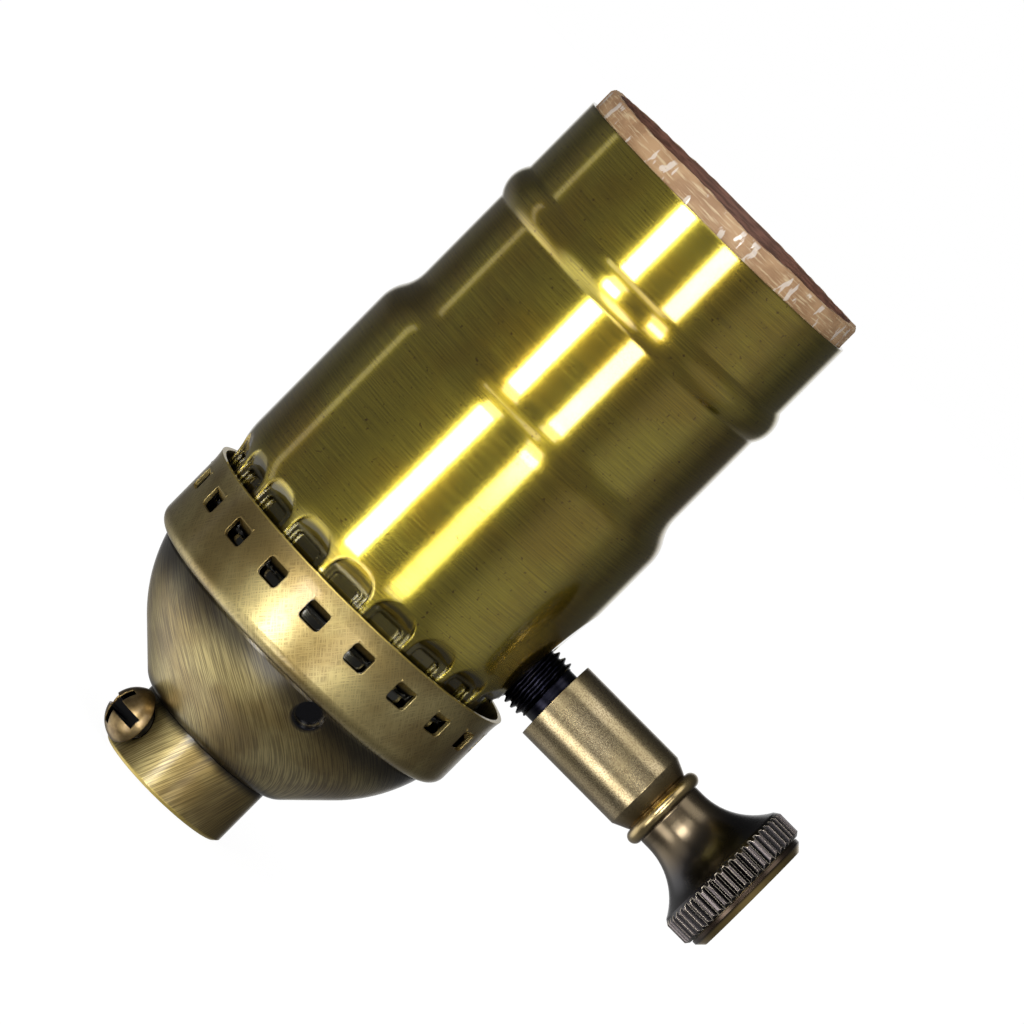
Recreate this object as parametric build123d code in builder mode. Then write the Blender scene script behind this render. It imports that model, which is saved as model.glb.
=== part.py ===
from build123d import *
import os
from math import cos, pi, radians, sin, sqrt, tan

os.makedirs("parts", exist_ok=True)

# The socket stands on its hub: +Z runs up the lamp's axis to the mouth, +X along the knob.
# The origin is the centre of the hub's open face, and all sizes are in millimetres.

# Sheets, fits, and how far a cutting tool runs past what it cuts
cap_wall = 0.45
shell_wall = 0.4
screw_fit = 0.05
running_fit = 0.05
slot_fit = 0.1
board_fit = 0.1
cut_over = 1.0

# Hub, and the bore for the lamp nipple
hub_radius = 7.45
hub_height = 6.5
hub_edge = 0.3
nipple_radius = 4.6
nipple_chamfer = 0.25
spigot_radius = 5.9
stake_height = 0.5
stake_spread = 0.6

# Set screw in the hub
set_screw_turn = 219
set_screw_z = 3.6
set_screw_radius = 2.05
set_screw_head_radius = 3.0
set_screw_head_height = 2.3
set_screw_lift = 0.9
set_screw_tip_gap = 0.4
set_screw_slot = 1.2
set_screw_slot_length = 5.2
set_screw_slot_depth = 1.6
set_screw_cross = 0.85
set_screw_cross_length = 3.9

# Cap: a dome with a band round its rim
dome_root_radius = 7.0
dome_root_bend = 2.8
dome_slope = 45
dome_belly_inset = 4.15
dome_top_z = 18.0
step_z = 18.3
step_flat = 0.1
band_bend = 1.5
band_skirt_gap = 0.55
lip_z = 27.3
lip_flare = 0.15
lip_flare_height = 1.6

# Lanced windows of the cap, each with a tongue bent inward from its upper edge
window_count = 20
window_width = 2.5
window_height = 2.2
window_z = 23.2
window_corner = 0.45
tongue_reach = 1.15
tongue_drop = 0.95
tongue_side_gap = 0.05

# Key dimple pressed into the dome
dimple_turn = -68.5
dimple_z = 16.9
dimple_radius = 1.5
dimple_depth = 1.1
dimple_lean = 0.27

# Shell: radii are of the outer face, and the narrower ones step in from the body's
skirt_step = 0.6
skirt_z = 22.9
skirt_top_z = 27.2
body_radius = 17.95
body_z = 31.6
shoulder_z = 48.2
neck_step = 1.33
neck_z = 52.7
bead_z = 63.0
bead_crest_z = 65.0
bead_height = 0.65
collar_z = 66.8
collar_step = 1.35
rim_z = 75.2

# Pockets of the shell: an arched ramp, with a square well that the tongue drops into
shelf_gap = 0.35
ramp_width = 4.7
ramp_depth = 0.35
ramp_foot_z = 28.9
ramp_top_z = 30.8
well_width = 3.1
well_depth = 0.65
well_top_z = 28.7
well_corner = 0.5

# Flat on the knob's side, which leans in towards the cap
flat_foot_step = 1.38
flat_bend_step = 0.7
flat_bend_z = 35.5
flat_top_over = 0.4
flat_top_z = 43.0
notch_gap = 0.3

# Fibre liner
liner_fit = 0.05
liner_wall = 1.2
liner_z = 31.7
liner_top_z = 77.8
liner_notch_gap = 0.8

# Lamp's screw shell
lamp_cup_step = 1.25
lamp_wall = 0.4
lamp_floor_width = 5.0
lamp_step = 0.35
lamp_step_z = 49.4
lamp_step_height = 0.8
lamp_z = 46.0
lamp_rim_z = 71.0
lamp_rim_flare = 0.5
lamp_rim_height = 1.6
lamp_bend = 0.9

# Moulded cup that carries the lamp's contacts and holds the dimmer
cup_gap = 0.35
cup_wall = 1.4
cup_roof = 4.0
cup_boss_radius = 2.3

# Base plate, and the screws that hold it to the cup
plate_gap = 0.05
plate_height = 1.8
plate_register = 1.0
base_screw_turn = 136
base_screw_inset = 1.4
base_screw_radius = 1.1
base_screw_length = 8.0
base_screw_head_radius = 2.2
base_screw_head_height = 1.3
base_screw_head_edge = 0.65
base_screw_slot = 0.5
base_screw_slot_depth = 0.45

# Terminals, one each side of the board
strap_width = 4.0
strap_thickness = 0.8
terminal_inset = 3.2
terminal_pad = 3.4
terminal_screw_radius = 1.7
terminal_head_radius = 3.2
terminal_head_height = 1.7
terminal_head_edge = 0.57
terminal_screw_length = 3.3
terminal_slot = 1.0
terminal_slot_depth = 0.9
rivet_radius = 1.2
rivet_head_radius = 1.8
rivet_head_height = 0.7
rivet_inset = 1.9

# Centre contact
contact_width = 4.0
contact_thickness = 0.5
contact_inset = 0.6
contact_rivet_step = 2.5
contact_bend_step = 2.2
contact_reach = 6.2
contact_rise = 2.6
contact_tip_radius = 2.0
contact_gap = 0.08
contact_dome = 0.2

# Circuit board and what is soldered to it, each part inset from the board's edge
board_thickness = 1.6
board_side_gap = 0.2
lead_radius = 0.35
lead_bend = 1.0
triac_lead_length = 2.5
triac_width = 7.8
triac_height = 11.1
triac_thickness = 2.8
triac_edge = 0.4
triac_inset = 4.6
triac_z = 28.0
triac_lead_pitch = 2.29
capacitor_width = 5.5
capacitor_height = 11.0
capacitor_depth = 8.5
capacitor_edge = 0.5
capacitor_inset = 5.1
capacitor_z = 23.0
choke_core_radius = 1.7
choke_coil_radius = 2.5
choke_length = 8.4
choke_coil_length = 6.6
choke_inset = 4.4
choke_z = 37.6
diac_radius = 0.95
diac_length = 4.0
diac_z = 31.5
resistor_radius = 1.15
resistor_length = 6.0
resistor_inset = 6.7
resistor_z = 23.6
barrel_edge = 0.25
part_lift = 0.3

# Rotary control
knob_z = 32.6
pot_width = 11.6
pot_height = 12.0
pot_depth = 5.5
pot_corner = 0.8
pot_wall = 1.6
pot_cavity_radius = 5.2
pot_plate = 1.0
pot_gap = 0.28
bushing_radius = 3.5
bushing_length = 6.2
bushing_chamfer = 0.5
shaft_radius = 3.0
spindle_radius = 1.8
spindle_end_gap = 0.3
track_thickness = 0.8
track_outer = 4.9
pin_size = 0.7
pin_pitch = 2.5
pin_z = 24.4
rotor_radius = 4.7
rotor_thickness = 1.5
rotor_front_gap = 0.3
wiper_thickness = 0.25
wiper_width = 1.4
wiper_gap = 0.1

# Knob: a barrel, a bead, a flared neck and a knurled wheel
knob_gap = 1.0
barrel_radius = 4.39
barrel_length = 12.0
taper_length = 1.45
taper_radius = 3.73
groove_width = 0.2
groove_radius = 3.6
knob_bead_width = 1.5
knob_bead_radius = 4.46
knob_neck_start = 15.3
knob_neck_radius = 3.63
knob_neck_length = 0.8
flare_radius = 7.15
flare_length = 5.95
wheel_radius = 7.52
wheel_start = 22.3
wheel_width = 2.9
wheel_chamfer = 0.3
knurl_count = 52
knurl_depth = 0.4
knurl_share = 0.72
cap_disc_gap = 0.1
cap_disc_radius = 6.9
cap_disc_width = 1.1
cap_disc_round = 0.7
knob_bore_length = 10.0

# Places worked out from the sizes above
skirt_radius = body_radius - skirt_step
neck_radius = body_radius - neck_step
collar_radius = body_radius - collar_step
bead_radius = collar_radius + bead_height
ramp_radius = skirt_radius - ramp_depth
well_radius = ramp_radius - well_depth
flat_foot = body_radius - flat_foot_step
flat_bend = body_radius - flat_bend_step
flat_top = body_radius + flat_top_over
band_radius = skirt_radius + band_skirt_gap + cap_wall
step_radius = band_radius - band_bend - step_flat
dome_belly_radius = step_radius - dome_belly_inset
window_top_z = window_z + window_height
tongue_end_z = window_top_z - tongue_drop
pocket_z = tongue_end_z - shelf_gap
plate_radius = step_radius - plate_gap
plate_z = step_z + cap_wall
liner_radius = collar_radius - shell_wall - liner_fit
liner_bore = liner_radius - liner_wall
cup_radius = liner_bore - cup_gap
cup_bore = cup_radius - cup_wall
cup_z = plate_z + plate_height
roof_z = lamp_z - cup_roof
base_screw_circle = cup_bore - base_screw_inset
base_screw_x = base_screw_circle * cos(radians(base_screw_turn))
base_screw_y = base_screw_circle * sin(radians(base_screw_turn))
lamp_radius = cup_radius - lamp_cup_step
lamp_foot_radius = lamp_radius - lamp_step
lamp_floor_radius = lamp_foot_radius - lamp_floor_width
lamp_outer_radius = lamp_radius + lamp_wall
lamp_lip_radius = lamp_outer_radius + lamp_rim_flare
pot_front_x = sqrt(liner_bore**2 - (pot_width / 2) ** 2) - pot_gap
pot_plate_x = pot_front_x - pot_plate
pot_x = pot_plate_x - pot_depth
pot_cavity_x = pot_x + pot_wall
bushing_end_x = pot_front_x + bushing_length
knob_x = bushing_end_x + knob_gap
board_x = pot_x - board_thickness
board_z = cup_z + plate_register
board_half_width = sqrt(cup_bore**2 - pot_x**2) - board_side_gap
triac_y = triac_inset - board_half_width
resistor_y = resistor_inset - board_half_width
capacitor_y = board_half_width - capacitor_inset
choke_y = board_half_width - choke_inset
diac_y = (triac_y + triac_width / 2 + capacitor_y - capacitor_width / 2) / 2
strap_x = board_x - strap_width / 2
strap_y = sqrt(cup_bore**2 - board_x**2) - strap_thickness - screw_fit
terminal_y = strap_y - terminal_inset
terminal_pad_end = terminal_y - terminal_pad
rivet_y = strap_y - rivet_inset
contact_back_x = contact_inset - lamp_floor_radius
contact_rivet_x = contact_back_x + contact_rivet_step
contact_bend_x = contact_rivet_x + contact_bend_step
track_face_x = pot_cavity_x + track_thickness
rotor_x = pot_plate_x - rotor_front_gap - rotor_thickness
shoulder_x = rotor_x + rotor_thickness
contact_pivot_z = lamp_z + lamp_wall + contact_thickness / 2


def ogee(low, high):
    """An S of two equal arcs that leaves and arrives along the axis."""
    middle = (Vector(*low) + Vector(*high)) / 2
    first = TangentArc(low, middle, tangent=(0, 1))
    TangentArc(middle, high, tangent=first % 1)


def cap_outline(inset):
    """The cap's outer face from its hole to its lip, or its inner face with the wall as the inset."""
    floor_z = hub_height + inset
    cap_floor = Line((spigot_radius + screw_fit, floor_z), (dome_root_radius, floor_z))
    root = JernArc(cap_floor @ 1, (1, 0), dome_root_bend - inset, dome_slope)
    run = dome_belly_radius - dome_root_radius - dome_root_bend * sin(radians(dome_slope))
    slope = Line(root @ 1, root @ 1 + Vector(run, run * tan(radians(dome_slope))))
    belly = TangentArc(slope @ 1, (step_radius - inset, dome_top_z), tangent=slope % 1)
    riser = Line(belly @ 1, (step_radius - inset, step_z + inset))
    step = Line(riser @ 1, (step_radius + step_flat, step_z + inset))
    shoulder = JernArc(step @ 1, (1, 0), band_bend - inset, 90)
    band = Line(shoulder @ 1, (band_radius - inset, lip_z - lip_flare_height))
    TangentArc(band @ 1, (band_radius + lip_flare - inset, lip_z), tangent=(0, 1))


def lamp_outline(inset):
    """The screw shell's outer face from its floor's hole to its rim, or its inner face."""
    foot_radius = lamp_foot_radius + lamp_wall
    step_end = (lamp_outer_radius - inset, lamp_step_z + lamp_step_height)
    lamp_floor = Line((lamp_floor_radius, lamp_z + inset), (foot_radius - lamp_bend, lamp_z + inset))
    corner = JernArc(lamp_floor @ 1, (1, 0), lamp_bend - inset, 90)
    foot = Line(corner @ 1, (foot_radius - inset, lamp_step_z))
    ogee(foot @ 1, step_end)
    wall = Line(step_end, (lamp_outer_radius - inset, lamp_rim_z - lamp_rim_height))
    TangentArc(wall @ 1, (lamp_lip_radius - inset, lamp_rim_z), tangent=(0, 1))


def shell_outline(inset, skirt, foot):
    """Half section of the shell's outer face, or of its inner face with the wall as the inset."""
    Line((0, foot), (skirt, foot))
    Line((skirt, foot), (skirt, skirt_top_z))
    ogee((skirt, skirt_top_z), (body_radius - inset, body_z))
    Line((body_radius - inset, body_z), (body_radius - inset, shoulder_z))
    ogee((body_radius - inset, shoulder_z), (neck_radius - inset, neck_z))
    Line((neck_radius - inset, neck_z), (neck_radius - inset, bead_z))
    ThreePointArc(
        (neck_radius - inset, bead_z),
        (bead_radius - inset, bead_crest_z),
        (collar_radius - inset, collar_z),
    )
    Line((collar_radius - inset, collar_z), (collar_radius - inset, rim_z + inset))
    Line((collar_radius - inset, rim_z + inset), (0, rim_z + inset))
    Line((0, rim_z + inset), (0, foot))


def flat_outline(inset):
    """What lies outside the shell's flat, seen from the side."""
    lean = (flat_bend - flat_foot) / (flat_bend_z - skirt_z)
    foot_z = skirt_z - cut_over
    foot = (flat_foot - inset - lean * cut_over, foot_z)
    bend = (flat_bend - inset, flat_bend_z)
    top = (flat_top - inset, flat_top_z)
    Line(foot, bend)
    TangentArc(bend, top, tangent=(lean, 1))
    Polyline(top, (2 * body_radius, flat_top_z), (2 * body_radius, foot_z), foot)


# Hub: a turned collar, bored for the nipple and staked into the cap
with BuildPart() as cap_hub:
    with BuildSketch(Plane.XZ):
        with BuildLine():
            Polyline(
                (nipple_radius, 0),
                (hub_radius - hub_edge, 0),
                (hub_radius, hub_edge),
                (hub_radius, hub_height),
                (spigot_radius, hub_height),
                (spigot_radius, hub_height + cap_wall),
                (spigot_radius + stake_spread, hub_height + cap_wall),
                (spigot_radius, hub_height + cap_wall + stake_height),
                (nipple_radius, hub_height + cap_wall + stake_height),
                close=True,
            )
        make_face()
    revolve(axis=Axis.Z)
    hub_bottom = cap_hub.edges().filter_by(GeomType.CIRCLE).group_by(Axis.Z)[0]
    chamfer(hub_bottom.sort_by(SortBy.RADIUS)[0], nipple_chamfer)
    set_screw_angle = radians(set_screw_turn)
    set_screw_out = (cos(set_screw_angle), sin(set_screw_angle), 0)
    set_screw_line = Plane((0, 0, set_screw_z), z_dir=set_screw_out)
    with BuildSketch(set_screw_line):
        Circle(set_screw_radius + screw_fit)
    extrude(amount=hub_radius + cut_over, mode=Mode.SUBTRACT)
cap_hub.part.label = "cap_hub"
export_step(cap_hub.part, "parts/cap_hub.step")

# Set screw: a round head with a slot and a cross, its tip just short of the nipple
with BuildPart() as hub_screw:
    head_round = (set_screw_head_radius**2 + set_screw_head_height**2) / (2 * set_screw_head_height)
    head_seat = hub_radius + set_screw_lift
    with BuildSketch(set_screw_line.offset(head_seat)):
        Circle(set_screw_head_radius)
    extrude(amount=set_screw_head_height)
    with Locations(set_screw_line.offset(head_seat + set_screw_head_height - head_round)):
        Sphere(head_round, mode=Mode.INTERSECT)
    with BuildSketch(set_screw_line.offset(nipple_radius + set_screw_tip_gap)):
        Circle(set_screw_radius)
    extrude(amount=head_seat - nipple_radius - set_screw_tip_gap)
    with BuildSketch(set_screw_line.offset(head_seat + set_screw_head_height)):
        Rectangle(set_screw_slot_length, set_screw_slot)
        Rectangle(set_screw_cross, set_screw_cross_length)
    extrude(amount=-set_screw_slot_depth, mode=Mode.SUBTRACT)
hub_screw.part.label = "hub_screw"
export_step(hub_screw.part, "parts/hub_screw.step")

# One window's opening in the band, on the knob's side
with BuildPart() as window_tool:
    with BuildSketch(Plane.YZ.offset(band_radius - 2 * cap_wall)):
        with Locations((0, window_z + window_height / 2)):
            RectangleRounded(window_width, window_height, window_corner)
    extrude(amount=4 * cap_wall)

# Its tongue: a strip of the band's own sheet that leans in from the window's upper edge
with BuildPart() as tongue_tool:
    with BuildSketch(Plane.XZ):
        lean = sqrt(tongue_reach**2 + tongue_drop**2)
        over = cap_wall * tongue_drop / lean
        rise = cap_wall * tongue_reach / lean
        inner_top_z = tongue_end_z + rise + (tongue_reach - cap_wall + over) * tongue_drop / tongue_reach
        with BuildLine():
            Polyline(
                (band_radius, window_top_z),
                (band_radius - tongue_reach, tongue_end_z),
                (band_radius - tongue_reach - over, tongue_end_z + rise),
                (band_radius - cap_wall, inner_top_z),
                (band_radius, inner_top_z),
                close=True,
            )
        make_face()
    extrude(amount=window_width / 2 - tongue_side_gap, both=True)

# Cap: pressed from one sheet, then lanced with its windows
with BuildPart() as cap:
    with BuildSketch(Plane.XZ):
        with BuildLine():
            cap_outline(0)
            cap_outline(cap_wall)
            Line((spigot_radius + screw_fit, hub_height), (spigot_radius + screw_fit, hub_height + cap_wall))
            Line((band_radius + lip_flare, lip_z), (band_radius + lip_flare - cap_wall, lip_z))
        make_face()
    revolve(axis=Axis.Z)
    dimple_angle = radians(dimple_turn)
    dimple_out = (cos(dimple_angle), sin(dimple_angle), -dimple_lean)
    dimple_face = Plane(
        (cos(dimple_angle) * step_radius, sin(dimple_angle) * step_radius, dimple_z), z_dir=dimple_out
    )
    with BuildSketch(dimple_face.offset(-cap_wall)):
        Circle(dimple_radius + cap_wall)
    extrude(amount=-dimple_depth)
    with BuildSketch(dimple_face.offset(cap_wall)):
        Circle(dimple_radius)
    extrude(amount=-dimple_depth - cap_wall, mode=Mode.SUBTRACT)
    with PolarLocations(0, window_count):
        add(window_tool.part, mode=Mode.SUBTRACT)
    with PolarLocations(0, window_count):
        add(tongue_tool.part)
cap.part.label = "cap"
export_step(cap.part, "parts/cap.step")

# One pocket's ramp and well, as the press tool that forms them
with BuildPart() as pocket_tool:
    with BuildSketch(Plane.XZ):
        with BuildLine():
            Polyline(
                (ramp_radius, pocket_z),
                (ramp_radius, ramp_foot_z),
                (body_radius, ramp_top_z),
                (body_radius + cut_over, ramp_top_z),
                (body_radius + cut_over, pocket_z),
                close=True,
            )
        make_face()
    extrude(amount=ramp_width / 2, both=True)
    with BuildSketch(Plane.YZ.offset(ramp_radius - cut_over)):
        with Locations((0, ramp_top_z - ramp_width / 2)):
            Circle(ramp_width / 2)
        with Locations((0, (pocket_z + ramp_top_z - ramp_width / 2) / 2)):
            Rectangle(ramp_width, ramp_top_z - ramp_width / 2 - pocket_z)
    extrude(amount=body_radius - ramp_radius + 3 * cut_over, mode=Mode.INTERSECT)
    with BuildSketch(Plane.YZ.offset(well_radius)) as well_sketch:
        with Locations((0, (pocket_z + well_top_z) / 2)):
            Rectangle(well_width, well_top_z - pocket_z)
        fillet(well_sketch.vertices().group_by(Axis.Z)[-1], well_corner)
    extrude(amount=body_radius - well_radius + cut_over)

# The same well one wall further in, so that the sheet follows it inside
with BuildPart() as well_back_tool:
    with BuildSketch(Plane.YZ.offset(well_radius - shell_wall)):
        with Locations((0, (pocket_z + well_top_z) / 2)):
            Rectangle(well_width + 2 * shell_wall, well_top_z - pocket_z + 2 * shell_wall)
    extrude(amount=body_radius - well_radius + cut_over)

# Hollow of the shell
with BuildPart() as shell_hollow:
    with BuildSketch(Plane.XZ):
        with BuildLine():
            shell_outline(shell_wall, ramp_radius - shell_wall, skirt_z - cut_over)
        make_face()
    revolve(axis=Axis.Z)
    with BuildSketch(Plane.XZ):
        with BuildLine():
            flat_outline(shell_wall)
        make_face()
    extrude(amount=body_radius, both=True, mode=Mode.SUBTRACT)
    with PolarLocations(0, window_count):
        add(well_back_tool.part, mode=Mode.SUBTRACT)

# Shell: drawn from one sheet, with a bead, a shoulder, pockets, the flat and the knob's notch
with BuildPart() as shell:
    with BuildSketch(Plane.XZ):
        with BuildLine():
            shell_outline(0, skirt_radius, skirt_z)
        make_face()
    revolve(axis=Axis.Z)
    with BuildSketch(Plane.XZ):
        with BuildLine():
            flat_outline(0)
        make_face()
    extrude(amount=body_radius, both=True, mode=Mode.SUBTRACT)
    with PolarLocations(0, window_count):
        add(pocket_tool.part, mode=Mode.SUBTRACT)
    add(shell_hollow.part, mode=Mode.SUBTRACT)
    with BuildSketch(Plane.YZ.offset(bushing_radius)):
        with Locations((0, knob_z)):
            Circle(bushing_radius + notch_gap)
        with Locations((0, (knob_z + skirt_z - cut_over) / 2)):
            Rectangle(2 * (bushing_radius + notch_gap), knob_z - skirt_z + cut_over)
    extrude(amount=body_radius, mode=Mode.SUBTRACT)
shell.part.label = "shell"
export_step(shell.part, "parts/shell.step")

# Liner: a fibre tube that stands proud of the shell's mouth and straddles the bushing
with BuildPart() as shell_liner:
    with BuildSketch(Plane.XY.offset(liner_z)):
        Circle(liner_radius)
        Circle(liner_radius - liner_wall, mode=Mode.SUBTRACT)
    extrude(amount=liner_top_z - liner_z)
    with BuildSketch(Plane.YZ):
        with Locations((0, knob_z)):
            Circle(bushing_radius + liner_notch_gap)
        with Locations((0, (knob_z + liner_z - cut_over) / 2)):
            Rectangle(2 * (bushing_radius + liner_notch_gap), knob_z - liner_z + cut_over)
    extrude(amount=body_radius, mode=Mode.SUBTRACT)
shell_liner.part.label = "shell_liner"
export_step(shell_liner.part, "parts/shell_liner.step")

# Screw shell: a drawn cup with a flared rim and an open floor that the cup's roof fills
with BuildPart() as screw_shell:
    with BuildSketch(Plane.XZ):
        with BuildLine():
            lamp_outline(0)
            lamp_outline(lamp_wall)
            Line((lamp_floor_radius, lamp_z), (lamp_floor_radius, lamp_z + lamp_wall))
            Line((lamp_lip_radius, lamp_rim_z), (lamp_lip_radius - lamp_wall, lamp_rim_z))
        make_face()
    revolve(axis=Axis.Z)
    with BuildSketch(Plane.XY.offset(lamp_z)):
        with Locations((strap_x, rivet_y), (-strap_x, -rivet_y)):
            Circle(rivet_radius + screw_fit)
    extrude(amount=lamp_wall, mode=Mode.SUBTRACT)
screw_shell.part.label = "screw_shell"
export_step(screw_shell.part, "parts/screw_shell.step")

# Cup: its roof carries the contacts, its open side lets the rotary control in from below
with BuildPart() as socket_body:
    with BuildSketch(Plane.XY.offset(cup_z)):
        Circle(cup_radius)
    extrude(amount=lamp_z - cup_z)
    with BuildSketch(Plane.XY.offset(lamp_z)):
        Circle(lamp_floor_radius - slot_fit)
    extrude(amount=lamp_wall)
    with BuildSketch(Plane.XY.offset(cup_z)):
        Circle(cup_bore)
    extrude(amount=roof_z - cup_z, mode=Mode.SUBTRACT)
    with BuildSketch(Plane.XY.offset(board_z)):
        with Locations((base_screw_x, base_screw_y), (base_screw_x, -base_screw_y)):
            Circle(cup_boss_radius)
    extrude(amount=roof_z - board_z)
    with BuildSketch(Plane.XY.offset(board_z)):
        with Locations((base_screw_x, base_screw_y), (base_screw_x, -base_screw_y)):
            Circle(base_screw_radius + screw_fit)
    extrude(amount=base_screw_length, mode=Mode.SUBTRACT)
    with BuildSketch(Plane.YZ.offset(pot_x)):
        with Locations((0, (cup_z + knob_z + pot_height / 2 + slot_fit) / 2)):
            Rectangle(pot_width + 2 * slot_fit, knob_z + pot_height / 2 + slot_fit - cup_z)
    extrude(amount=cup_radius, mode=Mode.SUBTRACT)
    with BuildSketch(Plane.XY.offset(roof_z)):
        with Locations((strap_x, rivet_y), (-strap_x, -rivet_y)):
            Circle(rivet_radius + screw_fit)
        with Locations((contact_rivet_x, 0)):
            Circle(rivet_radius + screw_fit)
        with Locations((contact_back_x + contact_thickness / 2, 0)):
            Rectangle(contact_thickness + slot_fit, contact_width + slot_fit)
    extrude(amount=cup_roof + lamp_wall, mode=Mode.SUBTRACT)
socket_body.part.label = "socket_body"
export_step(socket_body.part, "parts/socket_body.step")

# Base plate: closes the cup and rests on the step inside the cap, its notch over the key dimple
with BuildPart() as base_plate:
    with BuildSketch(Plane.XY.offset(plate_z)):
        Circle(plate_radius)
    extrude(amount=plate_height)
    with BuildSketch(Plane.XY.offset(cup_z)):
        Circle(cup_bore - board_fit)
    extrude(amount=plate_register)
    with BuildSketch(Plane.XY.offset(plate_z)):
        with Locations((base_screw_x, base_screw_y), (base_screw_x, -base_screw_y)):
            Circle(base_screw_radius + slot_fit)
        with Locations((strap_x, strap_y + cup_wall / 2), (strap_x, -strap_y - cup_wall / 2)):
            Rectangle(strap_width + 2 * slot_fit, cup_wall + 2 * slot_fit)
    extrude(amount=plate_height + plate_register, mode=Mode.SUBTRACT)
    with BuildSketch(Plane.XY.offset(cup_z)):
        with Locations((strap_x, cup_bore), (strap_x, -cup_bore)):
            Rectangle(strap_width + 2 * slot_fit, 2 * cup_wall)
    extrude(amount=plate_register, mode=Mode.SUBTRACT)
    with BuildSketch(Plane.XY.offset(plate_z)):
        with Locations((strap_x, terminal_y), (strap_x, -terminal_y)):
            Circle(terminal_screw_radius + screw_fit)
    extrude(amount=terminal_screw_length - strap_thickness, mode=Mode.SUBTRACT)
    with BuildSketch(Plane.XY.offset(plate_z)):
        with PolarLocations(plate_radius, 1, start_angle=dimple_turn):
            Rectangle(2 * (dimple_depth + cap_wall), 2 * (dimple_radius + cap_wall + slot_fit))
    extrude(amount=plate_height, mode=Mode.SUBTRACT)
base_plate.part.label = "base_plate"
export_step(base_plate.part, "parts/base_plate.step")

# Two pan-head screws from the base plate up into the cup's bosses
with BuildPart() as base_screws:
    with Locations((base_screw_x, base_screw_y, plate_z), (base_screw_x, -base_screw_y, plate_z)):
        Cylinder(base_screw_radius, base_screw_length, align=(Align.CENTER, Align.CENTER, Align.MIN))
        Cylinder(
            base_screw_head_radius, base_screw_head_height, align=(Align.CENTER, Align.CENTER, Align.MAX)
        )
    head_edges = base_screws.edges().filter_by(GeomType.CIRCLE).group_by(Axis.Z)[0]
    fillet(head_edges, base_screw_head_edge)
    with BuildSketch(Plane.XY.offset(plate_z - base_screw_head_height)):
        with Locations((base_screw_x, base_screw_y), (base_screw_x, -base_screw_y)):
            Rectangle(2 * base_screw_head_radius, base_screw_slot)
    extrude(amount=base_screw_slot_depth, mode=Mode.SUBTRACT)
base_screws.part.label = "base_screws"
export_step(base_screws.part, "parts/base_screws.step")

# Rivets that clamp the screw shell to the cup's roof; one holds the neutral strap below it
with BuildPart() as shell_rivets:
    rivet_top_z = lamp_z + lamp_wall
    with BuildSketch(Plane.XY.offset(roof_z - strap_thickness)):
        with Locations((strap_x, rivet_y), (-strap_x, -rivet_y)):
            Circle(rivet_radius)
    extrude(amount=rivet_top_z - roof_z + strap_thickness)
    with Locations((strap_x, rivet_y, rivet_top_z), (-strap_x, -rivet_y, rivet_top_z)):
        Cone(
            rivet_head_radius, rivet_radius, rivet_head_height,
            align=(Align.CENTER, Align.CENTER, Align.MIN),
        )
    with Locations((strap_x, rivet_y, roof_z - strap_thickness), (-strap_x, -rivet_y, roof_z)):
        Cone(
            rivet_radius, rivet_head_radius, rivet_head_height,
            align=(Align.CENTER, Align.CENTER, Align.MAX),
        )
shell_rivets.part.label = "shell_rivets"
export_step(shell_rivets.part, "parts/shell_rivets.step")

# Neutral strap: from the screw shell's rivet down the cup's side to a pad under the base plate
with BuildPart() as neutral_strap:
    with BuildSketch(Plane.YZ.offset(strap_x)):
        with BuildLine():
            Polyline(
                (terminal_pad_end, plate_z),
                (strap_y, plate_z),
                (strap_y, roof_z - strap_thickness),
                (rivet_y - rivet_head_radius, roof_z - strap_thickness),
                (rivet_y - rivet_head_radius, roof_z),
                (strap_y + strap_thickness, roof_z),
                (strap_y + strap_thickness, plate_z - strap_thickness),
                (terminal_pad_end, plate_z - strap_thickness),
                close=True,
            )
        make_face()
    extrude(amount=strap_width / 2, both=True)
    with Locations((strap_x, terminal_y, plate_z)):
        Hole(terminal_screw_radius + screw_fit, depth=strap_thickness)
    with Locations((strap_x, rivet_y, roof_z)):
        Hole(rivet_radius + screw_fit, depth=strap_thickness)
neutral_strap.part.label = "neutral_strap"
export_step(neutral_strap.part, "parts/neutral_strap.step")

# Live strap: from its pad up past the base plate, with a foot soldered to the board
with BuildPart() as hot_strap:
    strap_end_z = board_z + strap_width
    with BuildSketch(Plane.YZ.offset(strap_x)):
        with BuildLine():
            Polyline(
                (-terminal_pad_end, plate_z),
                (-strap_y, plate_z),
                (-strap_y, strap_end_z),
                (-strap_y - strap_thickness, strap_end_z),
                (-strap_y - strap_thickness, plate_z - strap_thickness),
                (-terminal_pad_end, plate_z - strap_thickness),
                close=True,
            )
        make_face()
    extrude(amount=strap_width / 2, both=True)
    foot_length = strap_y - board_half_width + strap_width / 2
    with Locations((board_x, -strap_y, strap_end_z)):
        Box(
            strap_thickness, foot_length, strap_width / 2,
            align=(Align.MAX, Align.MIN, Align.MAX),
        )
    with Locations((strap_x, -terminal_y, plate_z)):
        Hole(terminal_screw_radius + screw_fit, depth=strap_thickness)
hot_strap.part.label = "hot_strap"
export_step(hot_strap.part, "parts/hot_strap.step")

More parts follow.
